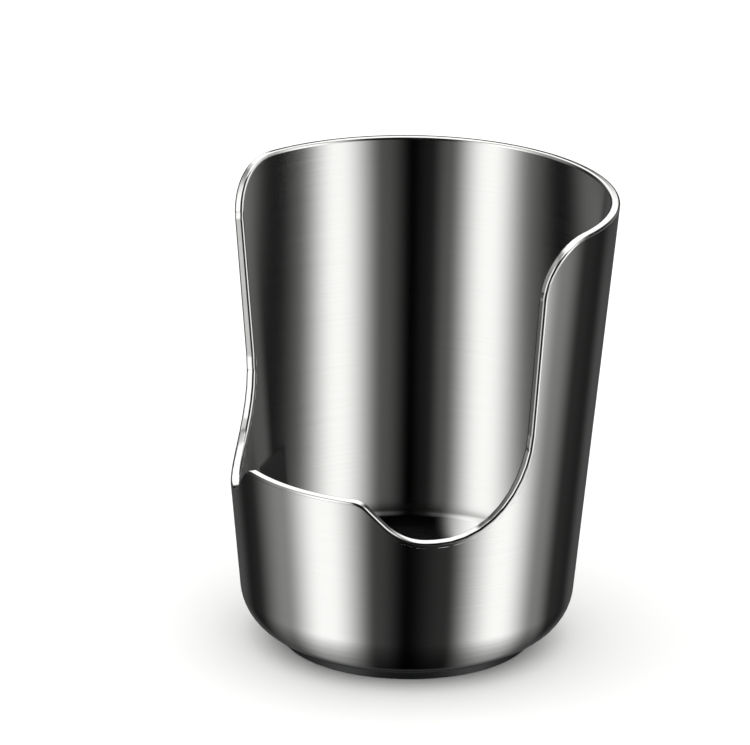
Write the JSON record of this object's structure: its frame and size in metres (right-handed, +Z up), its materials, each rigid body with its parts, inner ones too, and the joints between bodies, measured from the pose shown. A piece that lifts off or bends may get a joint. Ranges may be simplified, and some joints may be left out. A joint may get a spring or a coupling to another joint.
{
  "type": "utensil holder",
  "caption": "Double-walled stainless steel cup on a rubber foot, cut open at the front above a low lip with a rest at each side, for standing long kitchen tools.",
  "frame": {"origin": "centre of the foot's underside, on the cup's axis", "axes": "+Z up along the cup's axis, the opening and its low lip face -Y, +X to the right when looking along +Y"},
  "size_m": [0.1196, 0.1128, 0.1347],
  "materials": {
    "outer_steel": "fine brushing round the cup",
    "inner_steel": "fine brushing round the cup",
    "polished_steel": "ground flush and polished",
    "weight_steel": "plain turned steel, sealed inside",
    "foot_rubber": "matt moulded"
  },
  "bodies": {
    "root": {"outer_shell": "outer_steel", "inner_shell": "inner_steel", "rim_band": "polished_steel", "base_weight": "weight_steel", "foot": "foot_rubber"}
  },
  "joints": []
}
